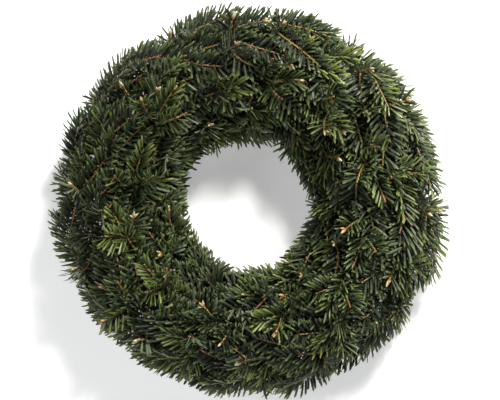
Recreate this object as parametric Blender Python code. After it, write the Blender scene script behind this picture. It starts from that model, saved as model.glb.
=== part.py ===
"""A fresh fir wreath: 58 branches bound with one length of wire on a straw ring, lying on its back.

Metres, +Z up. The origin is the middle of the wreath, on the surface that it lies on. Seen from above the
branches run clockwise, in five rows round the ring's section. Each branch is a bare stem that a turn of the
wire holds down on the straw, a main shoot and two side shoots, all with needles and a bud. A place is given by
its turn (the angle round the ring), its section angle (0 outwards, 90 up, 180 into the hole) and its height
above the straw's centre line.
"""

import math
import random

import bmesh
import bpy
import numpy as np
from mathutils import Matrix, Vector
from mathutils.bvhtree import BVHTree

# The straw ring: its section has eight corners, and it bulges between the turns of the wire.
RING_RADIUS = 0.124
STRAW_RADIUS = 0.022
PINCHED_RADIUS = 0.0202
CORNERS = 8
RINGS_PER_TURN = 3
CENTRE_HEIGHT = STRAW_RADIUS * math.cos(math.pi / CORNERS)

# The binding wire, which lies in the pinched places. It and the shoots have three-cornered sections.
WIRE_TURNS = 24
WIRE_RADIUS = 0.0006
GAP = 0.00045
OVER_STEM = 0.0009
ROD_CORNERS = (90, 210, 330)

# The branches. A stem is bare from its cut end to a little past the wire that holds it.
STEM_RADIUS = 0.0017
SHOOT_RADIUS = 0.0016
SHOOT_END_RADIUS = 0.0011
BUD_RADIUS = 0.0018
BUD_LENGTH = 0.0062
BUD_BELLY = 0.3
BUTT_LENGTH = 0.010
BARE_LENGTH = 0.017
BARE_STATIONS = 2
PITCH = 0.0053
STEM_HEIGHT = STRAW_RADIUS + GAP + STEM_RADIUS / 2

# name, corner of the straw, branches, first turn of the wire, section angle of the tips, section angle that
# the backs face, height of the tips, length. The tips lie to either side of the row in turn, by SPREAD.
ROWS = (
    ("low", 7, 10, 0, -5, 0, 0.050, 0.094),
    ("outer", 0, 12, 1, 21, 26, 0.053, 0.094),
    ("upper", 1, 12, 0, 52, 56, 0.053, 0.090),
    ("crown", 2, 12, 1, 92, 92, 0.050, 0.082),
    ("inner", 3, 12, 0, 144, 138, 0.049, 0.062),
)
SPREAD = 9
WANDER = 4
HEIGHT_RANGE = (-0.003, 0.002)
LENGTH_RANGE = (0.9, 1.1)
OVAL = 0.0015

# The side shoots: where they may leave the main one, how far they may rise (in degrees), and how long they are.
SIDE_PLACES = (0.05, 0.2, 0.35, 0.5)
SIDE_LIFTS = (-22, 4, 26)
SIDE_ANGLE = 52
SIDE_BEND = 0.40
SIDE_SHARE = (0.75, 0.95)
SIDE_MOST = 0.031
SIDE_FEWEST = 4
SIDE_ROOM = 0.005
SIDE_STRAW_ROOM = 0.008
TIP_ROOM = 0.012

# The needles. Near its root a needle is only kept clear of the other branches.
NEEDLE_LENGTH = 0.0190
NEEDLE_RANGE = (0.88, 1.08)
NEEDLE_ROOT = 0.0018
NEEDLE_TIP = 0.00015
ROOT_SHARE = 0.04
FREE_SHARE = 0.30
CLEARANCE = 0.0006
STRAW_CLEARANCE = 0.0022
LEAN = 60
TIP_LEAN = 32

# The directions of the needles round a shoot, by the face that they stand on.
ROLLS = {"right": (8, 52), "left": (172, 128), "below": (232, 308)}

# How a needle may be bent clear (its swing round the shoot and its tilt from it) or shortened.
BENDS = ((0, 0), (12, 0), (-12, 0), (0, -12), (0, 10), (24, -6), (-24, -6), (14, -18), (-14, -18))
SHORTER = (1.0, 0.8, 0.6)

# The space that the whole wreath keeps to: an oval outside, and a round hole a little off the ring's centre.
OUTER_HALF_WIDTH = 0.2005
OUTER_HALF_DEPTH = 0.1955
OUTER_CENTRE = (0.0012, 0.0034)
HOLE_RADIUS = 0.0505
HOLE_CENTRE = (-0.0012, -0.0034)
TOP_LIMIT = 0.090
FLOOR_LIMIT = 0.0008

SEED = 11
FINE_STEP = 0.001
REACH = 0.024


def unit(vector):
    return vector / np.linalg.norm(vector)


def corner_angle(corner):
    """The section angle of one of the straw's corners, in radians, from -90 degrees up."""
    angle = (corner + 0.5) * 2 * math.pi / CORNERS
    return angle - 2 * math.pi if angle > 1.5 * math.pi else angle


def wire_turn(turn, corner):
    """The angle round the ring where a turn of the wire passes a corner of the straw."""
    return -2 * math.pi * (turn + (corner + 0.5) / CORNERS) / WIRE_TURNS


def place(turn, section, height):
    """The point at a turn, a section angle and a height above the straw's centre line."""
    radius = RING_RADIUS + height * math.cos(section)
    up = CENTRE_HEIGHT + height * math.sin(section)
    return np.array([radius * math.cos(turn), radius * math.sin(turn), up])


def outwards(point, section):
    """The direction of a section angle, at the turn where a point lies."""
    turn = math.atan2(point[1], point[0])
    flat = math.cos(section)
    return np.array([flat * math.cos(turn), flat * math.sin(turn), math.sin(section)])


def straw_height(point):
    """How far a point lies from the straw's centre line."""
    return math.hypot(math.hypot(point[0], point[1]) - RING_RADIUS, point[2] - CENTRE_HEIGHT)


def inside(point, margin):
    """Whether a point is in the wreath's space with this much to spare."""
    x, y = point[0] - OUTER_CENTRE[0], point[1] - OUTER_CENTRE[1]
    to_hole = math.hypot(point[0] - HOLE_CENTRE[0], point[1] - HOLE_CENTRE[1])
    return (math.hypot(x / (OUTER_HALF_WIDTH - margin), y / (OUTER_HALF_DEPTH - margin)) <= 1
            and to_hole >= HOLE_RADIUS + margin
            and FLOOR_LIMIT + margin / 2 <= point[2] <= TOP_LIMIT - margin / 2)


class Shoot:
    """A run of points that a three-cornered rod follows, and the direction that its back faces at each."""

    def __init__(self, points, backs, bare):
        self.points = np.array(points)
        self.along = np.array([unit(v) for v in np.gradient(self.points, axis=0)])
        self.up = np.array([unit(b - t * (t @ b)) for b, t in zip(backs, self.along)])
        self.side = np.cross(self.up, self.along)
        self.bare = bare
        taper = np.linspace(SHOOT_RADIUS, SHOOT_END_RADIUS, len(self.points) - bare)
        self.radii = np.concatenate([np.full(bare, STEM_RADIUS), taper])

    def across(self, index, degrees):
        """The direction at an angle round the shoot, from its right hand over its back."""
        angle = math.radians(degrees)
        return math.cos(angle) * self.side[index] + math.sin(angle) * self.up[index]

    def ring(self, index):
        """The three corners of the rod at one of its points."""
        return [self.points[index] + self.radii[index] * self.across(index, c) for c in ROD_CORNERS]

    def roll(self, face, index):
        """The angle round the shoot at which a face after one of its points lies."""
        middle = (self.points[index] + self.points[index + 1]) / 2
        out = np.array(face.calc_center_median()) - middle
        return math.degrees(math.atan2(out @ self.up[index], out @ self.side[index])) % 360


class Crowd:
    """All the rods and needles placed so far, as tapered segments that new ones keep clear of."""

    def __init__(self):
        self.rows = np.zeros((20000, 9))
        self.count = 0
        self.owners = {}

    def add(self, start, end, first_radius, last_radius, owner):
        number = self.owners.setdefault(owner, len(self.owners))
        self.rows[self.count] = (*start, *end, first_radius, last_radius, number)
        self.count += 1

    def add_line(self, points, radius, owner):
        for start, end in zip(points[:-1], points[1:]):
            self.add(start, end, radius, radius, owner)

    def add_shoot(self, points, owner):
        self.add_line(with_bud(points), SHOOT_RADIUS, owner)

    def gap(self, start, end, first_radius, last_radius, leave_out=None):
        """The smallest gap between a new tapered segment and the others, leaving out one owner's."""
        rows = self.rows[:self.count]
        middles = (rows[:, 0:3] + rows[:, 3:6] - start - end) / 2
        near = (np.abs(middles) < REACH).all(axis=1) & (rows[:, 8] != self.owners.get(leave_out, -1))
        if not near.any():
            return REACH
        rows = rows[near]
        ours, theirs, between = end - start, rows[:, 3:6] - rows[:, 0:3], start - rows[:, 0:3]
        a, e = ours @ ours, np.einsum("ij,ij->i", theirs, theirs)
        b, c, f = theirs @ ours, between @ ours, np.einsum("ij,ij->i", theirs, between)
        s = np.clip((b * f - c * e) / np.maximum(a * e - b * b, 1e-16), 0, 1)
        t = np.clip((b * s + f) / e, 0, 1)
        s = np.clip((b * t - c) / a, 0, 1)
        apart = np.linalg.norm(between + s[:, None] * ours - t[:, None] * theirs, axis=1)
        our_radius = first_radius + (last_radius - first_radius) * s
        their_radius = rows[:, 6] + (rows[:, 7] - rows[:, 6]) * t
        return float((apart - our_radius - their_radius).min())

    def line_gap(self, points, leave_out):
        """The smallest gap between a new shoot and the others, leaving out its own branch."""
        points = with_bud(points)
        return min(self.gap(a, b, SHOOT_RADIUS, SHOOT_RADIUS, leave_out)
                   for a, b in zip(points[:-1], points[1:]))


def with_bud(points):
    """A shoot's points and the tip of its bud."""
    return [*points, points[-1] + BUD_LENGTH * unit(points[-1] - points[-2])]


def main_points(turn, row, rng):
    """The points of a branch's stem and main shoot: it climbs from the straw and drifts to its tip's angle."""
    _, corner, _, _, tip_section, _, reach, length = row
    angle = wire_turn(turn, corner)
    first = corner_angle(corner)
    spread = SPREAD * (1 if turn // 2 % 2 else -1)
    last = math.radians(tip_section + spread + rng.uniform(-WANDER, WANDER))
    length *= rng.uniform(*LENGTH_RANGE)
    reach += rng.uniform(*HEIGHT_RANGE) + OVAL * math.cos(2 * angle) * math.cos(last)
    stations = [-BUTT_LENGTH, 0.0, BARE_LENGTH]
    while stations[-1] + PITCH < length:
        stations.append(stations[-1] + PITCH)
    points, travelled, section, height = [], -BUTT_LENGTH, first, STEM_HEIGHT
    angle += BUTT_LENGTH / (RING_RADIUS + height * math.cos(section))
    for station in stations:
        while travelled < station - FINE_STEP / 1000:
            step = min(FINE_STEP, station - travelled)
            travelled += step
            share = max(0.0, travelled / length)
            rise = 0.45 * share + 0.55 * math.sin(share * math.pi / 2)
            new_section = first + (last - first) * share
            new_height = STEM_HEIGHT + (reach - STEM_HEIGHT) * rise
            sideways = math.hypot(new_height - height, height * (new_section - section))
            section, height = new_section, new_height
            forwards = math.sqrt(max(step * step - sideways * sideways, 0.0))
            angle -= forwards / (RING_RADIUS + height * math.cos(section))
        points.append(place(angle, section, height))
    return points


def main_shoot(turn, row, rng):
    """The stem and main shoot: the stem's back faces away from the straw, the shoot's as the row says."""
    points = main_points(turn, row, rng)
    facing = math.radians(row[5])
    backs = [outwards(p, corner_angle(row[1]) if k < BARE_STATIONS else facing) for k, p in enumerate(points)]
    return Shoot(points, backs, BARE_STATIONS)


def side_points(parent, index, hand, lift, length):
    """The points of a side shoot that leaves the parent shoot to one hand and bends along it."""
    swing = math.radians(SIDE_ANGLE)
    across = hand * parent.side[index]
    heading = math.cos(swing) * parent.along[index] + math.sin(swing) * across
    heading = unit(heading + math.tan(math.radians(lift)) * parent.up[index])
    points, steps = [(parent.points[index] + parent.points[index + 1]) / 2], round(length / PITCH)
    for step in range(steps):
        direction = unit(heading - SIDE_BEND * across * step / steps)
        points.append(points[-1] + direction * PITCH)
    return points[1:]


def best_side_shoot(main, hand, crowd, label, rng):
    """The place and points of the side shoot to one hand that keeps farthest from everything, or None."""
    last = len(main.points) - 1
    best, most_room = None, SIDE_ROOM
    for share in SIDE_PLACES:
        index = main.bare + round((last - main.bare) * (share + rng.uniform(-0.05, 0.05)))
        length = min((last - index) * PITCH * rng.uniform(*SIDE_SHARE), SIDE_MOST)
        for lift in SIDE_LIFTS:
            points = side_points(main, index, hand, lift + rng.uniform(-5, 5), length)
            while len(points) > SIDE_FEWEST and not inside(points[-1], TIP_ROOM):
                points.pop()
            low = min(straw_height(p) for p in points) < STRAW_RADIUS + SIDE_STRAW_ROOM
            if len(points) < SIDE_FEWEST or low or not inside(points[-1], TIP_ROOM):
                continue
            room = crowd.line_gap(points, label)
            if room > most_room:
                best, most_room = (index, points), room
    return best


def lay_out():
    """Every branch as (name, turn, corner, shoots), where a shoot has its place on the main one and its hand."""
    rng = random.Random(SEED)
    crowd, branches = Crowd(), []
    for row in ROWS:
        name, corner, count, first_turn = row[:4]
        for number in range(count):
            turn = first_turn + round(number * WIRE_TURNS / count)
            label = f"{name}_branch_{number + 1:02d}"
            shoot = main_shoot(turn, row, rng)
            crowd.add_shoot(shoot.points, label)
            branches.append((label, turn % WIRE_TURNS, corner, [(shoot, None, 0)]))
    for hand in (1, -1):
        for label, _, _, shoots in branches:
            main = shoots[0][0]
            found = best_side_shoot(main, hand, crowd, label, rng)
            if found:
                index, points = found
                shoots.append((Shoot(points, [main.up[index]] * len(points), 0), index, hand))
                crowd.add_shoot(points, label)
    return branches, crowd


def extruded(bm, face, ring):
    """Extrudes a three-cornered face to a ring; returns the new end face and the three sides."""
    top = bmesh.ops.extrude_discrete_faces(bm, faces=[face])["faces"][0]
    corners = list(top.verts)
    targets = [Vector(p) for p in ring]
    turned = [targets[k:] + targets[:k] for k in range(3)]
    nearest = min(turned, key=lambda t: sum((v.co - p).length for v, p in zip(corners, t)))
    for vertex, point in zip(corners, nearest):
        vertex.co = point
    sides = [f for edge in top.edges for f in edge.link_faces if f != top]
    return top, sides


def grow(bm, face, shoot, first, number, sides_of):
    """Extrudes a face along a shoot from one of its points on, and ends it in a bud."""
    for index in range(first + 1, len(shoot.points)):
        face, sides_of[number, index - 1] = extruded(bm, face, shoot.ring(index))
    tip, along = shoot.points[-1], shoot.along[-1]
    belly = [tip + along * BUD_LENGTH * BUD_BELLY + BUD_RADIUS * shoot.across(-1, c) for c in ROD_CORNERS]
    face, _ = extruded(bm, face, belly)
    point = bmesh.ops.poke(bm, faces=[face])["verts"][0]
    point.co = Vector(tip + along * BUD_LENGTH)


def start_stem(bm, main):
    """The cut end and the first stretch of a stem; returns the face that it goes on from."""
    cut_end, first = ([bm.verts.new(p) for p in main.ring(k)] for k in (0, 1))
    bm.faces.new(cut_end[::-1])
    for k in range(3):
        bm.faces.new((cut_end[k], cut_end[k - 2], first[k - 2], first[k]))
    return bm.faces.new(first)


def needle_tip(face, shoot, index, wanted, crowd, owner, rng):
    """The tip of the needle on a face, bent clear of everything else, or None."""
    root = np.array(face.calc_center_median())
    share = (index - shoot.bare) / (len(shoot.points) - 1 - shoot.bare)
    lean = LEAN - (LEAN - TIP_LEAN) * share ** 2
    length = NEEDLE_LENGTH * rng.uniform(*NEEDLE_RANGE)
    low_radius, free_radius = (NEEDLE_ROOT + (NEEDLE_TIP - NEEDLE_ROOT) * k for k in (ROOT_SHARE, FREE_SHARE))
    for shorter in SHORTER:
        for swing, tilt in BENDS:
            forward = math.radians(lean + tilt)
            heading = math.sin(forward) * shoot.across(index, wanted + swing)
            heading += math.cos(forward) * shoot.along[index]
            tip = root + heading * length * shorter
            low, free = root + (tip - root) * ROOT_SHARE, root + (tip - root) * FREE_SHARE
            off_straw = min(straw_height(tip), straw_height(free)) > STRAW_RADIUS + STRAW_CLEARANCE
            if (off_straw and inside(tip, 0.0)
                    and crowd.gap(low, tip, low_radius, NEEDLE_TIP, owner) > CLEARANCE
                    and crowd.gap(free, tip, free_radius, NEEDLE_TIP) > CLEARANCE / 2):
                return tip
    return None


def needle_face(bm, side, shoot, index):
    """The half of a rod's side that carries a needle, and the needle's direction round the shoot, or None."""
    roll = shoot.roll(side, index)
    key = "below" if 200 < roll < 340 else "left" if 90 < roll <= 200 else "right"
    if key == "below" and index % 2:
        return None, None
    high = (index // 2) % 2 if key == "below" else (index + (key == "left")) % 2
    wanted = ROLLS[key][high]
    halves = bmesh.ops.triangulate(bm, faces=[side])["faces"]
    return min(halves, key=lambda f: abs((shoot.roll(f, index) - wanted + 180) % 360 - 180)), wanted


def drop_crossed(bm, tips):
    """Takes away the needles whose faces pass through other faces of their own branch."""
    bm.faces.ensure_lookup_table()
    tree = BVHTree.FromBMesh(bm)
    gone = set()
    for a, b in sorted(tree.overlap(tree)):
        first, second = bm.faces[a], bm.faces[b]
        if a >= b or set(first.verts) & set(second.verts):
            continue
        crossed = [v for face in (second, first) for v in face.verts if v in tips]
        if crossed and not gone.intersection(crossed):
            gone.add(crossed[0])
    bmesh.ops.dissolve_verts(bm, verts=[v for v in bm.verts if v in gone])


def branch(label, shoots, crowd, rng):
    """One branch as one closed body: the stem and main shoot, the side shoots, and their needles."""
    bm = bmesh.new()
    main, sides_of = shoots[0][0], {}
    grow(bm, start_stem(bm, main), main, 1, 0, sides_of)
    for number, (shoot, index, hand) in enumerate(shoots[1:], 1):
        sides = sides_of[0, index]
        host = max(sides, key=lambda f: hand * math.cos(math.radians(main.roll(f, index) - 30 * hand)))
        sides.remove(host)
        halves = bmesh.ops.triangulate(bm, faces=[host])["faces"]
        root = min(halves, key=lambda f: (f.calc_center_median() - Vector(shoot.points[0])).length)
        end, _ = extruded(bm, root, shoot.ring(0))
        grow(bm, end, shoot, 0, number, sides_of)
    tips = set()
    for (number, index), sides in sorted(sides_of.items()):
        shoot = shoots[number][0]
        for side in sides if index >= shoot.bare else ():
            face, wanted = needle_face(bm, side, shoot, index)
            tip = face and needle_tip(face, shoot, index, wanted, crowd, label, rng)
            if tip is not None:
                crowd.add(np.array(face.calc_center_median()), tip, NEEDLE_ROOT, NEEDLE_TIP, label)
                point = bmesh.ops.poke(bm, faces=[face])["verts"][0]
                point.co = Vector(tip)
                tips.add(point)
    drop_crossed(bm, tips)
    return bm


def straw_ring():
    """The ring of straw: its rings of corners follow the wire's spiral, and are pinched under it."""
    bm = bmesh.new()
    count = WIRE_TURNS * RINGS_PER_TURN
    rings = []
    for ring in range(count):
        radius = STRAW_RADIUS if ring % RINGS_PER_TURN else PINCHED_RADIUS
        turn = ring / RINGS_PER_TURN
        rings.append([bm.verts.new(place(wire_turn(turn, c), corner_angle(c), radius)) for c in range(CORNERS)])
    for ring in range(count):
        this, after = rings[ring], rings[(ring + 1) % count]
        this = this + [rings[(ring + RINGS_PER_TURN) % count][0]]
        after = after + [rings[(ring + 1 + RINGS_PER_TURN) % count][0]]
        for corner in range(CORNERS):
            bm.faces.new((this[corner], this[corner + 1], after[corner + 1], after[corner]))
    bmesh.ops.recalc_face_normals(bm, faces=bm.faces)
    return bm


def wire_points(held):
    """The wire's centre line, over each held stem and down on the straw elsewhere."""
    points = []
    for turn in range(WIRE_TURNS):
        for corner in range(CORNERS):
            under = STEM_HEIGHT + STEM_RADIUS + OVER_STEM if (turn, corner) in held else PINCHED_RADIUS + GAP
            height = under + WIRE_RADIUS / 2 / math.cos(math.pi / CORNERS)
            points.append(place(wire_turn(turn, corner), corner_angle(corner), height))
    return points


def binding_wire(points):
    """The wire as one closed spiral."""
    bm = bmesh.new()
    rings = []
    for index, point in enumerate(points):
        along = unit(points[(index + 1) % len(points)] - points[index - 1])
        out = outwards(point, corner_angle(index % CORNERS))
        up = unit(out - along * (along @ out))
        side = np.cross(up, along)
        angles = [math.radians(c) for c in ROD_CORNERS]
        rings.append([bm.verts.new(point + WIRE_RADIUS * (math.cos(a) * side + math.sin(a) * up)) for a in angles])
    for index, this in enumerate(rings):
        after = rings[(index + 1) % len(rings)]
        for k in range(3):
            bm.faces.new((this[k], this[k - 2], after[k - 2], after[k]))
    bmesh.ops.recalc_face_normals(bm, faces=bm.faces)
    return bm


def material(name, colour, roughness, metallic=0.0):
    made = bpy.data.materials.new(name)
    made.use_nodes = True
    shader = made.node_tree.nodes["Principled BSDF"]
    shader.inputs["Base Color"].default_value = (*colour, 1)
    shader.inputs["Roughness"].default_value = roughness
    shader.inputs["Metallic"].default_value = metallic
    return made


def new_object(name, bm, finish):
    mesh = bpy.data.meshes.new(name)
    bm.to_mesh(mesh)
    bm.free()
    mesh.materials.append(finish)
    bpy.context.scene.collection.objects.link(bpy.data.objects.new(name, mesh))


def centre_on_origin(objects):
    """Moves every mesh by the same amount, so that the wreath's box is centred over the origin."""
    points = np.array([v.co[:2] for made in objects for v in made.data.vertices])
    middle = (points.min(axis=0) + points.max(axis=0)) / 2
    for made in objects:
        made.data.transform(Matrix.Translation((-middle[0], -middle[1], 0)))


def main():
    for old in list(bpy.data.objects):
        bpy.data.objects.remove(old)
    branches, crowd = lay_out()
    wire = wire_points({(turn, corner) for _, turn, corner, _ in branches})
    crowd.add_line(wire + wire[:1], WIRE_RADIUS, "binding_wire")
    new_object("straw_ring", straw_ring(), material("straw", (0.50, 0.38, 0.19), 0.9))
    new_object("binding_wire", binding_wire(wire), material("green wire", (0.03, 0.10, 0.04), 0.35, 0.6))
    fir = material("fir", (0.045, 0.085, 0.022), 0.45)
    rng = random.Random(SEED + 1)
    for label, _, _, shoots in branches:
        new_object(label, branch(label, shoots, crowd, rng), fir)
    centre_on_origin(bpy.data.objects)


main()
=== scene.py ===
"""A fresh fir wreath, dressed. Every branch keeps the shoots that the frame's branch has, and gets twigs,
bark, dense flat needles and buds. The ring gets its single straws, and the binding wire is round."""

import math
import random
from collections import namedtuple

import bpy
import numpy as np
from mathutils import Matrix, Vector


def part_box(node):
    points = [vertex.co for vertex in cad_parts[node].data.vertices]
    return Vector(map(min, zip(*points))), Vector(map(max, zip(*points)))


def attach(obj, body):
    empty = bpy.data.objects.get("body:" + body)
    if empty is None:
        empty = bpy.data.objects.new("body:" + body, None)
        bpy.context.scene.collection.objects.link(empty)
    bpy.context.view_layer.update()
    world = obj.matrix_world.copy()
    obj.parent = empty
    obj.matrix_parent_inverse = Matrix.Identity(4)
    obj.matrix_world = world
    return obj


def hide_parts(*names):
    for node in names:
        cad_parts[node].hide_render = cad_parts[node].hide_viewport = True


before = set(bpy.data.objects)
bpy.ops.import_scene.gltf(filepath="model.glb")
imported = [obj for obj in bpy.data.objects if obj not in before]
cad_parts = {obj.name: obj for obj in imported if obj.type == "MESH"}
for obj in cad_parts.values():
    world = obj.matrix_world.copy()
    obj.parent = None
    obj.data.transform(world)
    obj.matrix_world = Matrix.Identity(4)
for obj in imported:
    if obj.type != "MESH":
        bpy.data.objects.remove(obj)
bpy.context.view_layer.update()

# The straw ring and its wire, as the frame has them.
RING_RADIUS = 0.124
STRAW_RADIUS = 0.022
PINCHED_RADIUS = 0.0202
CORNERS = 8
CENTRE_HEIGHT = STRAW_RADIUS * math.cos(math.pi / CORNERS)
WIRE_TURNS = 24
WIRE_RADIUS = 0.0006
GAP = 0.00045
OVER_STEM = 0.0009

# The branches' shoots, as the frame has them.
STEM_RADIUS = 0.0017
SHOOT_RADIUS = 0.0016
BUD_LENGTH = 0.0062
BUTT_LENGTH = 0.010
BARE_LENGTH = 0.017
BARE_STATIONS = 2
PITCH = 0.0053
STEM_HEIGHT = STRAW_RADIUS + GAP + STEM_RADIUS / 2

# name, corner of the straw, branches, first turn of the wire, section angle of the tips, section angle that
# the backs face, height of the tips, length. The tips lie to either side of the row in turn, by SPREAD.
ROWS = (
    ("low", 7, 10, 0, -5, 0, 0.050, 0.094),
    ("outer", 0, 12, 1, 21, 26, 0.053, 0.094),
    ("upper", 1, 12, 0, 52, 56, 0.053, 0.090),
    ("crown", 2, 12, 1, 92, 92, 0.050, 0.082),
    ("inner", 3, 12, 0, 144, 138, 0.049, 0.062),
)
SPREAD = 9
WANDER = 4
HEIGHT_RANGE = (-0.003, 0.002)
LENGTH_RANGE = (0.9, 1.1)
OVAL = 0.0015
EVEN_CLIMB = 0.45
EARLY_CLIMB = 0.55
SIDE_PLACES = (0.05, 0.2, 0.35, 0.5)
SIDE_PLACE_STRAY = (-0.05, 0.05)
SIDE_LIFTS = (-22, 4, 26)
SIDE_LIFT_STRAY = (-5, 5)
SIDE_ANGLE = 52
SIDE_BEND = 0.40
SIDE_SHARE = (0.75, 0.95)
SIDE_MOST = 0.031
SIDE_FEWEST = 4
SIDE_ROOM = 0.005
SIDE_STRAW_ROOM = 0.008
TIP_ROOM = 0.012
OUTER_HALF_WIDTH = 0.2005
OUTER_HALF_DEPTH = 0.1955
OUTER_CENTRE = (0.0012, 0.0034)
HOLE_RADIUS = 0.0505
HOLE_CENTRE = (-0.0012, -0.0034)
TOP_LIMIT = 0.090
FLOOR_LIMIT = 0.0008
SEED = 11
FINE_STEP = 0.001
REACH = 0.024
MOST_SEGMENTS = 20000

# The twigs that fill each branch out, in layers: rounds; lift from the foliage's usual height; least room to
# other shoots; the cover that they go by, how many shoots it is to have, and the least gain that counts;
# whether their tips are at the rims; how far their backs turn up; length; places along the parent shoot.
Layer = namedtuple("Layer", "rounds lift room cover wanted least_gain rim face length places")
TWIG_LAYERS = (
    Layer(1, (0.003, 0.008), 0.0125, "slope", 2.6, 9.0, False, 0.3, (0.055, 0.085), (0.35, 0.8)),
    Layer(3, (-0.006, 0.001), 0.0062, "slope", 3.4, 8.0, True, 0.4, (0.034, 0.070), (0.0, 0.8)),
    Layer(1, (-0.006, 0.001), 0.0105, "slope", 2.6, 9.0, False, 0.2, (0.044, 0.080), (0.0, 0.8)),
    Layer(2, (-0.014, -0.007), 0.0014, "slope", 4.2, 6.0, True, 0.6, (0.030, 0.062), (0.0, 0.8)),
    Layer(4, (-0.021, -0.012), 0.0012, "slope", 4.6, 6.0, None, 0.6, (0.030, 0.062), (0.0, 0.8)),
    Layer(6, (-0.026, -0.010), 0.0008, "plan", 9.5, 8.0, None, 0.9, (0.024, 0.056), (0.0, 0.95)),
)
TWIG_PARENTS = 7
TWIG_TRIES = 6
TWIG_SWING = (34, 56)
TWIG_BEND = 0.020
TWIG_STEEPEST = 0.45
TWIG_HEIGHT = 0.0485
TWIG_OUTER_HEIGHT = 0.019
TWIG_INNER_HEIGHT = 0.0085
TWIG_RIM = (32, 138)
TWIG_DRIFT = (-0.05, 0.32)
TWIG_FEWEST = 5
TWIG_STRAW_ROOM = 0.005
TWIG_TIP_ROOM = (0.0, 0.009)
TWIG_HOLE_ROOM = (0.003, 0.021)

# The cells of the wreath's surface that the twigs are to cover.
COVER_TURNS = 130
COVER_SLOPE = (-26, 190, 28)
COVER_PLAN = (0.068, 0.190, 20)
COVER_REACH = 2

# The slots of a branch's materials, and how near to a ring's place its points lie.
NEEDLES, BARK, BUDS = 0, 1, 2
RING_REACH = 0.01

# The bark.
BARK_RADIUS = 0.0012
BARK_TIP_RADIUS = 0.0009
BARK_SIDES = 5
BARK_STEP = 0.0026
BARK_KNOBS = 0.13
TWIG_THIN = 0.82

# The needles: sizes in metres, angles in degrees unless the comment says otherwise.
NEEDLE_RINGS = ((0.0, 0.42, 1.5), (0.07, 0.34, 1.1), (0.28, 0.94, 1.0), (0.84, 1.0, 0.95), (1.0, 0.46, 0.5))
NEEDLE_LENGTH = 0.0190
NEEDLE_LENGTHS = (0.84, 1.1)
SHOOT_SIZES = (0.92, 1.06)
NEEDLE_WIDTH = 0.0023
NEEDLE_WIDTHS = (0.85, 1.12)
NEEDLE_THICKNESS = 0.00085
NEEDLE_SPACING = 0.00112
UNEVEN_SPACING = 0.6
BARE_SHARE = 0.7
BARE_TWIG = 0.002
ROOT_DEPTH = 0.8
ROOT_ANGLE = 30
ROOT_FAN = 24
TILTS = (20, 35)
TILT_CHANCES = (0.75, 0.25)
TILT_STRAY = 3
FAN = (14, 20)
STRAY = 6
LEAN = 58
TIP_LEAN = 26
GATHERING = 3.4
RANK_LEAN = 5
LEAN_STRAY = 3.2
ROLL_STRAY = 15
# Radians that a needle's foot and tip turn, from its lean and from its tilt, and the tip's stray.
FOOT_TURN = (0.16, 0.14)
TIP_TURN = (0.14, 0.10)
TIP_STRAY = 0.05
# The first needles have this share of the length, and gain the rest at this rate; the last ones lose it so.
FIRST_SHARE = 0.62
LENGTHENING = 2.2
LAST_PLACE = 0.88
# The upper two ranks are longer and paler than the lower two by twice these; the paleness is painted:
# painted shade on the lower ranks, which lie under the upper.
RANK_LENGTH = 0.05
RANK_PAINTED_SHADE = 0.15
# The share of needles that lie upside down, and how far they are turned, radians.
UPSIDE_DOWN = 0.02
UPSIDE_DOWN_ROLL = 2.6
# Needles deep in the foliage. The last of these lowers their tone: painted shade for their depth under the
# upper shoots.
UNDER_TILT = 4
UNDER_FAN = 12
UNDER_SPARSER = 1.15
UNDER_WIDER = 1.15
UNDER_PAINTED_SHADE = 0.40

# Tones and ages, from 0 to 1: a branch's usual tone and stray, and its limits; how young branches are.
BRANCH_TONE = (0.42, 0.16)
BRANCH_TONES = (0.1, 0.85)
SHOOT_TONE_STRAY = 0.07
NEEDLE_TONE_STRAY = 0.12
BARK_TONES = (0.35, 1.0)
BUD_TONES = (0.0, 0.75)
BUD_TONE_STRAY = 0.15
YOUNG = (0.15, 0.4, 1.0)
YOUNG_CHANCES = (0.5, 0.3, 0.2)
YOUNG_FROM, YOUNG_OVER = 0.55, 0.45
YOUNG_SHARES = (0.6, 1.0)
AGE_STRAY = 0.08

# The buds: each one's lean and size, and the chance of the second and the third.
BUD_CHANCE = 0.4
BUD_LEANS = (0.0, 40.0, 44.0)
BUD_SIZES = (1.3, 1.1, 1.0)
SECOND_BUD, THIRD_BUD = 0.8, 0.6
BUDS_APART = (130, 230)
BUD_LENGTHS = (0.85, 1.15)
BUD_SLENDER = 0.38
BUD_SUNK = 0.0012
BUD_RINGS = tuple((at, wide, wide) for at, wide in
                  ((0.067, 1.5), (0.25, 1.15), (0.5, 0.92), (0.75, 0.74), (0.933, 0.55)))

# Where needles begin to be held back, and what share of the rest they may still go.
ON_STRAW = 0.0235
REST_HEIGHT = 0.0013
OPEN_CENTRE = (-0.0042, -0.0070)
HOLE_SOFT = 0.0575
HOLE_GIVE = 0.5
OUTER_SOFT = 0.98
OUTER_GIVE = 0.75
TOP_SOFT = 0.088
TOP_GIVE = 0.3

# The straw.
STRAW_CORE = 0.0006
STALKS = 460
STALK_STEPS = 7
STALK_SIDES = 5
STALK_LENGTH = (0.05, 0.12)
STALK_RADIUS = (0.0008, 0.0014)
STALK_FLATTER = 0.7
STALK_SKEW = 0.14
STALK_WAVE, STALK_WAVES = 0.04, 9
STALK_RISE = (-0.9, 0.1)
STALK_END_DIP = (-0.5, 1.0)
STALK_TONE = (0.6, 0.2)
CORE_TONE = 0.1
PINCH_SHAPE = 0.6

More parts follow.
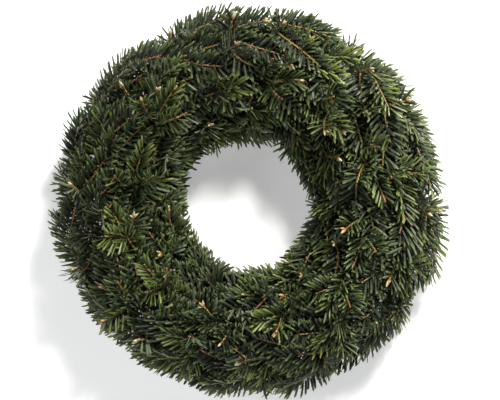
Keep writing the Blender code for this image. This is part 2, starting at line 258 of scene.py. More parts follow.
# The lights (name, place, size, power, colour) and the camera.
LIGHTS = (
    ("key", (0.78, 1.5, 1.2), 0.45, 92, (1.0, 0.98, 0.94)),
    ("side", (-1.7, 0.2, 1.05), 0.8, 14, (0.97, 0.98, 1.0)),
    ("front", (0.5, -1.8, 0.75), 0.8, 22, (0.97, 0.98, 1.0)),
)
WORLD_STRENGTH = 0.51
FLOOR_GLOW = 0.34
WORLD_FADE = ((0.0, 1.0), (0.22, 0.4), (0.5, 0.17), (0.75, 0.03))
CAMERA_PLACE = (0.0, 0.0, 1.40)
CAMERA_LENS = 100
SENSOR_WIDTH = 36
FLOOR_SIZE = 6
FLOOR_DROP = 0.0005


def unit(vector):
    return vector / np.linalg.norm(vector)


def corner_angle(corner):
    """The section angle of one of the straw's corners, in radians, from -90 degrees up."""
    angle = (corner + 0.5) * 2 * math.pi / CORNERS
    return angle - 2 * math.pi if angle > 1.5 * math.pi else angle


def wire_turn(turn, corner):
    """The angle round the ring where a turn of the wire passes a corner of the straw."""
    return -2 * math.pi * (turn + (corner + 0.5) / CORNERS) / WIRE_TURNS


def place(turn, section, height):
    """The point at a turn, a section angle and a height above the straw's centre line."""
    radius = RING_RADIUS + height * math.cos(section)
    up = CENTRE_HEIGHT + height * math.sin(section)
    return np.array([radius * math.cos(turn), radius * math.sin(turn), up])


def outwards(point, section):
    """The direction of a section angle, at the turn where a point lies."""
    turn = math.atan2(point[1], point[0])
    flat = math.cos(section)
    return np.array([flat * math.cos(turn), flat * math.sin(turn), math.sin(section)])


def straw_height(point):
    """How far a point lies from the straw's centre line."""
    return math.hypot(math.hypot(point[0], point[1]) - RING_RADIUS, point[2] - CENTRE_HEIGHT)


def inside(point, margin):
    """Whether a point is in the wreath's space with this much to spare."""
    x, y = point[0] - OUTER_CENTRE[0], point[1] - OUTER_CENTRE[1]
    to_hole = math.hypot(point[0] - HOLE_CENTRE[0], point[1] - HOLE_CENTRE[1])
    return (math.hypot(x / (OUTER_HALF_WIDTH - margin), y / (OUTER_HALF_DEPTH - margin)) <= 1
            and to_hole >= HOLE_RADIUS + margin
            and FLOOR_LIMIT + margin / 2 <= point[2] <= TOP_LIMIT - margin / 2)


class Shoot:
    """A run of points that a shoot follows, and the direction that its back faces at each."""

    def __init__(self, points, backs, bare):
        self.points = np.array(points)
        self.along = np.array([unit(v) for v in np.gradient(self.points, axis=0)])
        self.up = np.array([unit(b - t * (t @ b)) for b, t in zip(backs, self.along)])
        self.side = np.cross(self.up, self.along)
        self.bare = bare    # how many of its first points have no needles
        self.under = False  # whether it lies deep in the foliage


class Crowd:
    """All the shoots placed so far, as segments that new ones keep clear of."""

    def __init__(self):
        self.rows = np.zeros((MOST_SEGMENTS, 7))
        self.count = 0
        self.owners = {}

    def add_shoot(self, points, owner):
        number = self.owners.setdefault(owner, len(self.owners))
        line = with_bud(points)
        for start, end in zip(line[:-1], line[1:]):
            self.rows[self.count] = (*start, *end, number)
            self.count += 1

    def gap(self, start, end, leave_out):
        """The smallest gap between a new segment and the others, leaving out one owner's."""
        rows = self.rows[:self.count]
        middles = (rows[:, 0:3] + rows[:, 3:6] - start - end) / 2
        near = (np.abs(middles) < REACH).all(axis=1) & (rows[:, 6] != self.owners.get(leave_out, -1))
        if not near.any():
            return REACH
        rows = rows[near]
        ours, theirs, between = end - start, rows[:, 3:6] - rows[:, 0:3], start - rows[:, 0:3]
        a, e = ours @ ours, np.einsum("ij,ij->i", theirs, theirs)
        b, c, f = theirs @ ours, between @ ours, np.einsum("ij,ij->i", theirs, between)
        s = np.clip((b * f - c * e) / np.maximum(a * e - b * b, 1e-16), 0, 1)
        t = np.clip((b * s + f) / e, 0, 1)
        s = np.clip((b * t - c) / a, 0, 1)
        apart = np.linalg.norm(between + s[:, None] * ours - t[:, None] * theirs, axis=1)
        return float(apart.min() - SHOOT_RADIUS - SHOOT_RADIUS)

    def line_gap(self, points, leave_out):
        """The smallest gap between a new shoot and the others, leaving out its own branch."""
        points = with_bud(points)
        return min(self.gap(start, end, leave_out) for start, end in zip(points[:-1], points[1:]))


def with_bud(points):
    """A shoot's points and the tip of its bud."""
    return [*points, points[-1] + BUD_LENGTH * unit(points[-1] - points[-2])]


def main_points(turn, row, rng):
    """The points of a branch's stem and main shoot, which climbs from the straw as it drifts sideways."""
    _, corner, _, _, tip_section, _, reach, length = row
    angle = wire_turn(turn, corner)
    first = corner_angle(corner)
    spread = SPREAD * (1 if turn // 2 % 2 else -1)
    last = math.radians(tip_section + spread + rng.uniform(-WANDER, WANDER))
    length *= rng.uniform(*LENGTH_RANGE)
    reach += rng.uniform(*HEIGHT_RANGE) + OVAL * math.cos(2 * angle) * math.cos(last)
    stations = [-BUTT_LENGTH, 0.0, BARE_LENGTH]
    while stations[-1] + PITCH < length:
        stations.append(stations[-1] + PITCH)
    points, travelled, section, height = [], -BUTT_LENGTH, first, STEM_HEIGHT
    angle += BUTT_LENGTH / (RING_RADIUS + height * math.cos(section))
    for station in stations:
        while travelled < station - FINE_STEP / 1000:
            step = min(FINE_STEP, station - travelled)
            travelled += step
            share = max(0.0, travelled / length)
            rise = EVEN_CLIMB * share + EARLY_CLIMB * math.sin(share * math.pi / 2)
            new_section = first + (last - first) * share
            new_height = STEM_HEIGHT + (reach - STEM_HEIGHT) * rise
            sideways = math.hypot(new_height - height, height * (new_section - section))
            section, height = new_section, new_height
            forwards = math.sqrt(max(step * step - sideways * sideways, 0.0))
            angle -= forwards / (RING_RADIUS + height * math.cos(section))
        points.append(place(angle, section, height))
    return points


def main_shoot(turn, row, rng):
    """The stem and main shoot: the stem's back faces away from the straw, the shoot's as the row says."""
    points = main_points(turn, row, rng)
    facing = math.radians(row[5])
    stem_facing = corner_angle(row[1])
    backs = [outwards(p, stem_facing if k < BARE_STATIONS else facing) for k, p in enumerate(points)]
    return Shoot(points, backs, BARE_STATIONS)


def side_points(parent, index, hand, lift, length):
    """The points of a side shoot that leaves the parent shoot to one hand and bends along it."""
    swing = math.radians(SIDE_ANGLE)
    across = hand * parent.side[index]
    heading = math.cos(swing) * parent.along[index] + math.sin(swing) * across
    heading = unit(heading + math.tan(math.radians(lift)) * parent.up[index])
    points, steps = [(parent.points[index] + parent.points[index + 1]) / 2], round(length / PITCH)
    for step in range(steps):
        direction = unit(heading - SIDE_BEND * across * step / steps)
        points.append(points[-1] + direction * PITCH)
    return points[1:]


def best_side_shoot(main, hand, crowd, label, rng):
    """The place and points of the side shoot to one hand that keeps farthest from everything, or None."""
    last = len(main.points) - 1
    best, most_room = None, SIDE_ROOM
    for share in SIDE_PLACES:
        index = main.bare + round((last - main.bare) * (share + rng.uniform(*SIDE_PLACE_STRAY)))
        length = min((last - index) * PITCH * rng.uniform(*SIDE_SHARE), SIDE_MOST)
        for lift in SIDE_LIFTS:
            points = side_points(main, index, hand, lift + rng.uniform(*SIDE_LIFT_STRAY), length)
            while len(points) > SIDE_FEWEST and not inside(points[-1], TIP_ROOM):
                points.pop()
            low = min(straw_height(p) for p in points) < STRAW_RADIUS + SIDE_STRAW_ROOM
            if len(points) < SIDE_FEWEST or low or not inside(points[-1], TIP_ROOM):
                continue
            room = crowd.line_gap(points, label)
            if room > most_room:
                best, most_room = (index, points), room
    return best


def lay_out():
    """Every branch as (name, turn, corner, shoots), as the frame has it, and all their shoots as a crowd."""
    rng = random.Random(SEED)
    crowd, branches = Crowd(), []
    for row in ROWS:
        name, corner, count, first_turn = row[:4]
        for number in range(count):
            turn = first_turn + round(number * WIRE_TURNS / count)
            label = f"{name}_branch_{number + 1:02d}"
            shoot = main_shoot(turn, row, rng)
            crowd.add_shoot(shoot.points, label)
            branches.append((label, turn % WIRE_TURNS, corner, [shoot]))
    for hand in (1, -1):
        for label, _, _, shoots in branches:
            main = shoots[0]
            found = best_side_shoot(main, hand, crowd, label, rng)
            if found:
                index, points = found
                start = (main.points[index] + main.points[index + 1]) / 2
                shoots.append(Shoot([start, *points], [main.up[index]] * (len(points) + 1), 0))
                crowd.add_shoot(points, label)
    return branches, crowd


class Cover:
    """How many shoots cover each cell of the wreath, by turn and by a measure: section angle or radius."""

    def __init__(self, measure, first, last, rows):
        self.counts = np.zeros((COVER_TURNS, rows))
        self.turns = 2 * math.pi / COVER_TURNS
        self.measure, self.first, self.step = measure, first, (last - first) / rows

    def cells(self, points):
        """The cells within reach of a shoot's needles."""
        found = set()
        for x, y, z in points:
            turn = math.atan2(y, x) / self.turns
            row = (self.measure((x, y, z)) - self.first) / self.step
            for i in range(-COVER_REACH, COVER_REACH + 1):
                for j in range(-COVER_REACH, COVER_REACH + 1):
                    cell = round(row) + j
                    if i * i + j * j <= COVER_REACH ** 2 + 1 and 0 <= cell < self.counts.shape[1]:
                        found.add(((round(turn) + i) % COVER_TURNS, cell))
        return tuple(np.array(sorted(found)).T) if found else (np.zeros(0, int), np.zeros(0, int))

    def add(self, points):
        self.counts[self.cells(points)] += 1

    def gain(self, points, wanted):
        """How much a new shoot would add where there is less than wanted."""
        return float(np.clip(wanted - self.counts[self.cells(points)], 0, None).sum())


def section_of(point):
    """The section angle at which a point lies, in radians, from -90 degrees up."""
    section = math.atan2(point[2] - CENTRE_HEIGHT, math.hypot(point[0], point[1]) - RING_RADIUS)
    return section + 2 * math.pi if section < -math.pi / 2 else section


def twig_points(parent, index, hand, length, swing, lift, drift):
    """The points of a twig that leaves a shoot to one hand, and bends until it runs nearly along with it."""
    start = (parent.points[index] + parent.points[index + 1]) / 2
    angle, height, section = math.atan2(start[1], start[0]), straw_height(start), section_of(start)
    outward = math.cos(section)
    wanted = TWIG_HEIGHT + lift + (TWIG_OUTER_HEIGHT if outward > 0 else -TWIG_INNER_HEIGHT) * outward
    rise = min(max((wanted - height) / length, -TWIG_STEEPEST), TWIG_STEEPEST)
    points, travelled, step = [start], 0.0, 2 * FINE_STEP
    while travelled < length:
        travelled += step
        sideways = hand * (math.sin(swing) * math.exp(-travelled / TWIG_BEND) + drift)
        section += sideways * step / height
        height += rise * step
        forwards = math.sqrt(max(1 - sideways ** 2 - rise ** 2, 0.1)) * step
        angle -= forwards / (RING_RADIUS + height * math.cos(section))
        if len(points) * PITCH <= travelled:
            points.append(place(angle, section, height))
    return points


def fill_out(branches, crowd):
    """Adds twigs to the branches' shoots, layer by layer, each where the surface is covered least."""
    rng = random.Random(SEED + 2)
    covers = {
        "slope": Cover(lambda point: math.degrees(section_of(point)), *COVER_SLOPE),
        "plan": Cover(lambda point: math.hypot(point[0], point[1]), *COVER_PLAN),
    }
    for _, _, _, shoots in branches:
        for shoot in shoots:
            for cover in covers.values():
                cover.add(shoot.points[shoot.bare:])
    for layer in TWIG_LAYERS:
        for _ in range(layer.rounds):
            for label, _, _, shoots in branches:
                best = best_twig(shoots, layer, covers[layer.cover], crowd, rng)
                if best:
                    backs = [outwards(p, turned_up(section_of(p), layer.face)) for p in best]
                    shoots.append(Shoot(best, backs, 0))
                    shoots[-1].under = layer.lift[1] < 0
                    crowd.add_shoot(best, label)
                    for cover in covers.values():
                        cover.add(best[1:])


def turned_up(section, share):
    """A section angle, turned towards straight up by a share of the way."""
    return section + share * (math.pi / 2 - section)


def best_twig(shoots, layer, cover, crowd, rng):
    """The points of the twig on a branch that covers most of what needs it, or None."""
    best, most_gain = None, layer.least_gain
    for parent in shoots[:TWIG_PARENTS]:
        last = len(parent.points) - 2
        for _ in range(TWIG_TRIES):
            index = parent.bare + int((last - parent.bare) * rng.uniform(*layer.places))
            hand, swing = rng.choice((-1, 1)), math.radians(rng.uniform(*TWIG_SWING))
            length, lift = rng.uniform(*layer.length), rng.uniform(*layer.lift)
            points = twig_points(parent, index, hand, length, swing, lift, rng.uniform(*TWIG_DRIFT))
            tip_room, hole_room = rng.uniform(*TWIG_TIP_ROOM), rng.uniform(*TWIG_HOLE_ROOM)
            while len(points) > TWIG_FEWEST and not inside(points[-1], tip_room):
                points.pop()
            if len(points) < TWIG_FEWEST or not inside(points[-1], tip_room):
                continue
            if min(math.hypot(*(p[:2] - OPEN_CENTRE)) for p in points) < HOLE_RADIUS + hole_room:
                continue
            at_rim = not TWIG_RIM[0] < math.degrees(section_of(points[-1])) < TWIG_RIM[1]
            too_low = min(straw_height(p) for p in points) < STRAW_RADIUS + TWIG_STRAW_ROOM
            if too_low or layer.rim not in (None, at_rim):
                continue
            gain = cover.gain(points[1:], layer.wanted)
            if gain > most_gain and crowd.line_gap(points[3:], None) > layer.room:
                best, most_gain = points, gain
    return best


class Line:
    """A shoot as smooth arrays: points, directions, backs and sides at even steps along it."""

    def __init__(self, shoot, step):
        chord = np.linalg.norm(np.diff(shoot.points, axis=0), axis=1)
        stations = np.concatenate([[0], np.cumsum(chord)])
        self.length = stations[-1]
        self.at = np.arange(0, self.length, step)
        self.points = smooth(stations, shoot.points, self.at)
        ahead = smooth(stations, shoot.points, self.at + step / 10)
        self.along = normalised(ahead - self.points)
        up = np.stack([np.interp(self.at, stations, shoot.up[:, k]) for k in range(3)], axis=1)
        self.up = normalised(up - (up * self.along).sum(1)[:, None] * self.along)
        self.side = np.cross(self.up, self.along)


def smooth(stations, values, at):
    """Values at stations, read from a smooth curve through them."""
    slopes = np.gradient(values, stations, axis=0)
    cell = np.clip(np.searchsorted(stations, at, side="right") - 1, 0, len(stations) - 2)
    span = (stations[cell + 1] - stations[cell])[:, None]
    t = ((at - stations[cell])[:, None]) / span
    start, leave = 2 * t**3 - 3 * t**2 + 1, t**3 - 2 * t**2 + t
    end, arrive = -2 * t**3 + 3 * t**2, t**3 - t**2
    return (start * values[cell] + leave * span * slopes[cell]
            + end * values[cell + 1] + arrive * span * slopes[cell + 1])


def normalised(vectors):
    return vectors / np.maximum(np.linalg.norm(vectors, axis=-1, keepdims=True), 1e-12)


def placed(name, data):
    """A new object in the scene."""
    piece = bpy.data.objects.new(name, data)
    bpy.context.scene.collection.objects.link(piece)
    return piece


def pick(piece):
    """Makes an object the only one that is selected, and the active one."""
    bpy.ops.object.select_all(action="DESELECT")
    piece.select_set(True)
    bpy.context.view_layer.objects.active = piece


def select_ring(piece, at):
    """In edit mode: selects only the points that lie at a place along +X."""
    bpy.ops.mesh.select_mode(type="VERT")
    bpy.ops.mesh.select_all(action="DESELECT")
    bpy.ops.object.mode_set(mode="OBJECT")
    for vertex in piece.data.vertices:
        vertex.select = abs(vertex.co.x - at) < RING_REACH
    bpy.ops.object.mode_set(mode="EDIT")


def shaped(piece, rings):
    """In edit mode: resizes a piece's rings of points along +X, then takes its points and faces."""
    for at, width, thickness in rings:
        select_ring(piece, at)
        bpy.ops.transform.resize(value=(1, width, thickness), center_override=(at, 0, 0))
    bpy.ops.object.mode_set(mode="OBJECT")
    return taken(piece)


def model_needle():
    """One flat needle, along +X: a round foot, a thin stalk, even blades and a blunt tip."""
    bpy.ops.mesh.primitive_cylinder_add(vertices=4, radius=0.5, depth=1, end_fill_type="NGON",
                                        location=(0.5, 0, 0), rotation=(0, math.pi / 2, 0))
    needle = bpy.context.object
    bpy.ops.object.transform_apply(location=True, rotation=True, scale=True)
    bpy.ops.object.mode_set(mode="EDIT")
    for at, _, _ in NEEDLE_RINGS[1:-1]:
        bpy.ops.mesh.select_all(action="SELECT")
        bpy.ops.mesh.bisect(plane_co=(at, 0, 0), plane_no=(1, 0, 0))
    return shaped(needle, NEEDLE_RINGS)


def model_bud():
    """One bud, along +X: a short neck, a full belly and a pointed tip."""
    bpy.ops.mesh.primitive_uv_sphere_add(segments=7, ring_count=6, radius=0.5, location=(0.5, 0, 0),
                                         rotation=(0, math.pi / 2, 0))
    bud = bpy.context.object
    bpy.ops.object.transform_apply(location=True, rotation=True, scale=True)
    bpy.ops.object.mode_set(mode="EDIT")
    return shaped(bud, BUD_RINGS)


def taken(piece):
    """A modelled piece's points and faces, in the same order each time; the piece itself is removed."""
    mesh = piece.data
    points = np.array([v.co[:] for v in mesh.vertices])
    faces = sorted(list(p.vertices) for p in mesh.polygons)
    bpy.data.objects.remove(piece)
    return points, faces


def needle_uvs(points, faces):
    """u goes round a needle's section, the upper side from 0 to a half; v goes along it."""
    uvs = []
    for face in faces:
        middle = points[face].mean(axis=0)
        centre = math.atan2(middle[2], middle[1]) / (2 * math.pi) % 1
        for k in face:
            u = math.atan2(points[k][2], points[k][1]) / (2 * math.pi) % 1
            uvs.append((u + round(centre - u), points[k][0]))
    return np.array(uvs)


class Growth:
    """What a piece is made of so far: blocks of points and faces, with their material and attributes."""

    def __init__(self):
        self.points, self.faces, self.finishes, self.uvs = [], [], [], []
        self.tones, self.ages = [], []
        self.count = 0

    def add(self, points, faces, finish, uvs, tone, age):
        """Faces is a list of arrays, each with its own number of corners; uvs go with those corners."""
        self.points.append(points)
        self.tones.append(tone)
        self.ages.append(age)
        for block, uv in zip(faces, uvs):
            self.faces.append(block + self.count)
            self.finishes.append(np.full(len(block), finish))
            self.uvs.append(uv.reshape(-1, 2))
        self.count += len(points)

    def made(self, name, materials):
        """The finished piece."""
        mesh = bpy.data.meshes.new(name)
        corners = np.concatenate([block.ravel() for block in self.faces])
        sizes = np.concatenate([np.full(len(block), block.shape[1]) for block in self.faces])
        mesh.vertices.add(self.count)
        mesh.vertices.foreach_set("co", np.concatenate(self.points).ravel())
        mesh.loops.add(len(corners))
        mesh.loops.foreach_set("vertex_index", corners)
        mesh.polygons.add(len(sizes))
        mesh.polygons.foreach_set("loop_start", np.concatenate([[0], np.cumsum(sizes)[:-1]]))
        for finish in materials:
            mesh.materials.append(finish)
        mesh.polygons.foreach_set("material_index", np.concatenate(self.finishes))
        mesh.update()
        mesh.validate()
        mesh.uv_layers.new(name="UVMap").data.foreach_set("uv", np.concatenate(self.uvs).ravel())
        for key, values in (("tone", self.tones), ("age", self.ages)):
            mesh.attributes.new(key, "FLOAT", "POINT").data.foreach_set("value", np.concatenate(values))
        piece = placed(name, mesh)
        pick(piece)
        bpy.ops.object.shade_smooth_by_angle(angle=math.radians(50))
        return piece


def by_size(faces):
    """Faces as arrays, one for each number of corners, and where their corners come in the whole list."""
    starts = np.concatenate([[0], np.cumsum([len(face) for face in faces])])
    blocks, orders = [], []
    for size in sorted({len(face) for face in faces}):
        chosen = [k for k, face in enumerate(faces) if len(face) == size]
        blocks.append(np.array([faces[k] for k in chosen]))
        orders.append(np.array([range(starts[k], starts[k + 1]) for k in chosen]))
    return blocks, orders


class Form:
    """A modelled shape along +X, that is copied many times."""

    def __init__(self, modelled):
        self.points, faces = modelled
        self.faces, orders = by_size(faces)
        uvs = needle_uvs(self.points, faces)
        self.uvs = [uvs[order] for order in orders]

    def copies(self, growth, finish, places, spines, sides, uppers, tones, ages):
        """Adds copies whose points follow spines, with widths along sides and thicknesses along uppers."""
        count, size = len(places), len(self.points)
        points = spines + self.points[None, :, 1, None] * sides + self.points[None, :, 2, None] * uppers
        shift = (np.arange(count) * size)[:, None, None]
        faces = [(block[None] + shift).reshape(-1, block.shape[1]) for block in self.faces]
        uvs = [np.tile(uv.reshape(-1), count).reshape(-1, 2) for uv in self.uvs]
        growth.add(points.reshape(-1, 3), faces, finish, uvs, np.repeat(tones, size), np.repeat(ages, size))


def kept_in(points):
    """Points moved to stay above the floor, off the straw, out of the hole and in the wreath's outline."""
    points = points.copy()
    x, y = points[..., 0] - OPEN_CENTRE[0], points[..., 1] - OPEN_CENTRE[1]
    radius = np.hypot(x, y)
    wanted = np.where(radius < HOLE_SOFT, HOLE_SOFT - (HOLE_SOFT - radius) * HOLE_GIVE, radius)
    points[..., 0] = OPEN_CENTRE[0] + x * wanted / radius
    points[..., 1] = OPEN_CENTRE[1] + y * wanted / radius
    x, y = points[..., 0] - OUTER_CENTRE[0], points[..., 1] - OUTER_CENTRE[1]
    share = np.hypot(x / OUTER_HALF_WIDTH, y / OUTER_HALF_DEPTH)
    wanted = np.where(share > OUTER_SOFT, OUTER_SOFT + (share - OUTER_SOFT) * OUTER_GIVE, share) / share
    points[..., 0] = OUTER_CENTRE[0] + x * wanted
    points[..., 1] = OUTER_CENTRE[1] + y * wanted
    radius = np.hypot(points[..., 0], points[..., 1])
    out, up = radius - RING_RADIUS, points[..., 2] - CENTRE_HEIGHT
    height = np.maximum(np.hypot(out, up), 1e-6)
    push = np.maximum(ON_STRAW / height, 1)
    new_radius = RING_RADIUS + out * push
    points[..., 0] *= new_radius / radius
    points[..., 1] *= new_radius / radius
    points[..., 2] = np.maximum(CENTRE_HEIGHT + up * push, REST_HEIGHT)
    points[..., 2] = np.minimum(points[..., 2], TOP_SOFT + (points[..., 2] - TOP_SOFT) * TOP_GIVE)
    return points


def grow_needles(growth, form, line, kind, rng):
    """The needles of one shoot: four even ranks, two to each side, that lean forwards, most at the tip."""
    count = int((line.length - kind["bare"]) / kind["spacing"])
    number = np.arange(count)
    at = kind["bare"] + (number + UNEVEN_SPACING * rng.random(count)) * kind["spacing"]
    share = at / line.length
    index = np.minimum((at / (line.at[1] - line.at[0])).astype(int), len(line.at) - 1)
    hand = np.where(np.isin(number % 4, (0, 3)), 1.0, -1.0)
    level = np.where(number % 2 == 0, 1.0, -1.0)
    raw = np.radians(ROOT_ANGLE + ROOT_FAN * level)
    steep = np.radians(kind["tilt"] + kind["fan"] * level + rng.normal(0, STRAY, count))
    lean = np.radians(LEAN - (LEAN - TIP_LEAN) * share ** GATHERING + RANK_LEAN * level
                      + rng.normal(0, LEAN_STRAY, count))
    along, up, side = line.along[index], line.up[index], line.side[index]

    def across(angle):
        return (hand * np.cos(angle))[:, None] * side + np.sin(angle)[:, None] * up

    def heading(forwards, angle):
        return np.cos(forwards)[:, None] * along + np.sin(forwards)[:, None] * across(angle)

    first = normalised(heading(lean + FOOT_TURN[0], steep + FOOT_TURN[1]))
    last = heading(lean - TIP_TURN[0], steep - TIP_TURN[1])
    last = normalised(last + rng.normal(0, TIP_STRAY, (count, 3)))
    short = np.minimum(1, FIRST_SHARE + LENGTHENING * share)
    short = short * np.where(share > LAST_PLACE, 1 - LENGTHENING * (share - LAST_PLACE), 1)
    length = NEEDLE_LENGTH * kind["size"] * short * rng.uniform(*NEEDLE_LENGTHS, count)
    length = length * (1 - RANK_LENGTH + RANK_LENGTH * level)
    radius = BARK_RADIUS * kind["thick"] * ROOT_DEPTH
    roots = line.points[index] + radius * ((hand * np.cos(raw))[:, None] * side + np.sin(raw)[:, None] * up)
    t = form.points[:, 0][None, :, None]
    run = t * first[:, None] + t * t / 2 * (last - first)[:, None]
    spines = kept_in(roots[:, None] + length[:, None, None] * run)
    tangents = normalised(first[:, None] + t * (last - first)[:, None])
    turned = np.radians(rng.normal(0, ROLL_STRAY, count))
    turned = turned + np.where(rng.random(count) < UPSIDE_DOWN, UPSIDE_DOWN_ROLL, 0)
    upper = normalised(up[:, None] - (up[:, None] * tangents).sum(-1, keepdims=True) * tangents)
    flank = np.cross(upper, tangents)
    cos, sin = np.cos(turned)[:, None, None], np.sin(turned)[:, None, None]
    flank, upper = cos * flank + sin * upper, cos * upper - sin * flank
    width = NEEDLE_WIDTH * kind["wide"] * rng.uniform(*NEEDLE_WIDTHS, count)[:, None, None]
    # The lower ranks' darker tone is painted shade, the upper ranks' paler tone painted light.
    tones = np.clip(kind["tone"] + RANK_PAINTED_SHADE * level + rng.normal(0, NEEDLE_TONE_STRAY, count), 0, 1)
    ages = np.clip(kind["young"] * (share - YOUNG_FROM) / YOUNG_OVER + rng.normal(0, AGE_STRAY, count), 0, 1)
    form.copies(growth, NEEDLES, roots, spines, flank * width, upper * NEEDLE_THICKNESS, tones, ages)


def tube_faces(count, sides):
    """The side faces and the two end faces of a tube of rings, whose corners go anticlockwise along it."""
    base = np.arange(count - 1)[:, None] * sides
    k = np.arange(sides)
    after = (k + 1) % sides
    walls = np.stack([base + after, base + sides + after, base + sides + k, base + k], axis=-1)
    return walls.reshape(-1, 4), np.array([k[::-1], k + (count - 1) * sides])


def grow_bark(growth, line, kind, rng):
    """The bark of one shoot: a knobbed tube that tapers to its tip, with closed ends."""
    count = len(line.at)
    angles = np.arange(BARK_SIDES) * 2 * math.pi / BARK_SIDES
    radii = kind["thick"] * np.linspace(BARK_RADIUS, BARK_TIP_RADIUS, count)
    if kind["stem"]:
        radii = np.where(line.at < BUTT_LENGTH + BARE_LENGTH, STEM_RADIUS, radii)
    knobs = 1 + BARK_KNOBS * rng.uniform(-1, 1, (count, BARK_SIDES))
    circles = (np.cos(angles)[None, :, None] * line.side[:, None]
               + np.sin(angles)[None, :, None] * line.up[:, None])
    rings = line.points[:, None] + (radii[:, None] * knobs)[..., None] * circles
    rings[..., 2] = np.maximum(rings[..., 2], REST_HEIGHT / 2)
    walls, ends = tube_faces(count, BARK_SIDES)
    k = np.arange(BARK_SIDES)
    v = line.at * 100
    uv = np.zeros((count - 1, BARK_SIDES, 4, 2))
    uv[..., :2, 0] = ((k + 1) / BARK_SIDES)[:, None]
    uv[..., 2:, 0] = (k / BARK_SIDES)[:, None]
    uv[..., (0, 3), 1] = v[:-1, None, None]
    uv[..., (1, 2), 1] = v[1:, None, None]
    end_uv = np.full((2, BARK_SIDES, 2), -1.0)
    share = np.repeat(line.at / line.length, BARK_SIDES)
    growth.add(rings.reshape(-1, 3), [walls, ends], BARK, [uv, end_uv],
               np.full(count * BARK_SIDES, kind["tone"]), share * kind["young"])


def grow_buds(growth, form, line, kind, rng):
    """The buds at the end of one shoot: one that goes straight on, and often one or two beside it."""
    along, up, side, tip = line.along[-1], line.up[-1], line.side[-1], line.points[-1]
    rolls = [0.0]
    if rng.random() < SECOND_BUD:
        rolls.append(rng.uniform(0, 360))
        if rng.random() < THIRD_BUD:
            rolls.append(rolls[-1] + rng.uniform(*BUDS_APART))
    for roll, lean, size in zip(rolls, BUD_LEANS, BUD_SIZES):
        roll, lean = math.radians(roll), math.radians(lean)
        heading = math.cos(lean) * along + math.sin(lean) * (math.cos(roll) * side + math.sin(roll) * up)
        flank = unit(np.cross(up, heading) if abs(up @ heading) < 0.9 else side)
        upper = np.cross(heading, flank)
        length = BUD_LENGTH * size * rng.uniform(*BUD_LENGTHS)
        width = length * BUD_SLENDER
        spine = (tip - along * BUD_SUNK)[None, None] + length * form.points[None, :, 0, None] * heading
        tone = np.clip(rng.normal(kind["bud"], BUD_TONE_STRAY), 0, 1)
        form.copies(growth, BUDS, [0], kept_in(spine), np.broadcast_to(flank * width, spine.shape),
                    np.broadcast_to(upper * width, spine.shape), np.array([tone]), np.array([kind["young"]]))


class Nodes:
    """A material under construction, with short ways to add its nodes and links."""

    def __init__(self, name, roughness, **sockets):
        self.material = bpy.data.materials.new(name)
        self.material.use_nodes = True
        self.tree = self.material.node_tree
        self.shader = self.tree.nodes["Principled BSDF"]
        for key, value in dict(sockets, Roughness=roughness).items():
            self.shader.inputs[key.replace("_", " ")].default_value = value

    def add(self, kind, links=(), **settings):
        """A new node; links are (socket, source output) pairs, settings its own values."""
        node = self.tree.nodes.new("ShaderNode" + kind)
        for key, value in settings.items():
            setattr(node, key, value)
        for socket, source in links:
            self.link(source, node.inputs[socket])
        return node

    def link(self, source, target):
        if isinstance(source, (int, float, tuple)):
            target.default_value = source
        else:
            self.tree.links.new(source, target)

    def attribute(self, name):
        return self.add("Attribute", attribute_name=name).outputs["Fac"]

    def maths(self, operation, first, second=0.0):
        return self.add("Math", [(0, first), (1, second)], operation=operation).outputs[0]

    def ramp(self, source, *stops):
        """A colour ramp: stops are (place, linear colour)."""
        node = self.add("ValToRGB", [("Fac", source)])
        elements = node.color_ramp.elements
        while len(elements) < len(stops):
            elements.new(0.5)
        for element, (at, colour) in zip(elements, stops):
            element.position = at
            element.color = (*colour, 1) if isinstance(colour, tuple) else (colour, colour, colour, 1)
        return node.outputs["Color"]

    def mix(self, share, first, second, blend="MIX"):
        """Two colours mixed; a colour mix has its colours at sockets 6 and 7, and its result at 2."""
        node = self.add("Mix", data_type="RGBA", blend_type=blend)
        self.link(share, node.inputs["Factor"])
        self.link((*first, 1) if isinstance(first, tuple) else first, node.inputs[6])
        self.link((*second, 1) if isinstance(second, tuple) else second, node.inputs[7])
        return node.outputs[2]

    def noise(self, scale):
        node = self.add("TexNoise", [("Scale", scale), ("Detail", 3.0)])
        self.link(self.object_coordinates(), node.inputs["Vector"])
        return node.outputs["Fac"]

    def object_coordinates(self):
        return self.add("TexCoord").outputs["Object"]

    def own_places(self):
        """The place round a form, and the place along it."""
        node = self.add("SeparateXYZ", [("Vector", self.add("UVMap", uv_map="UVMap").outputs[0])])
        return node.outputs[0], node.outputs[1]

    def apart(self, source, middle):
        """How far a value is from a place."""
        return self.maths("ABSOLUTE", self.maths("SUBTRACT", source, middle))

    def mottled(self, colour, scale, share, other):
        """A colour with soft patches of another."""
        return self.mix(self.maths("MULTIPLY", self.noise(scale), share), colour, other)

    def bump(self, height, strength, distance):
        node = self.add("Bump", [("Height", height), ("Strength", strength), ("Distance", distance)])
        self.link(node.outputs["Normal"], self.shader.inputs["Normal"])

    def colour(self, source):
        self.link(source, self.shader.inputs["Base Color"])


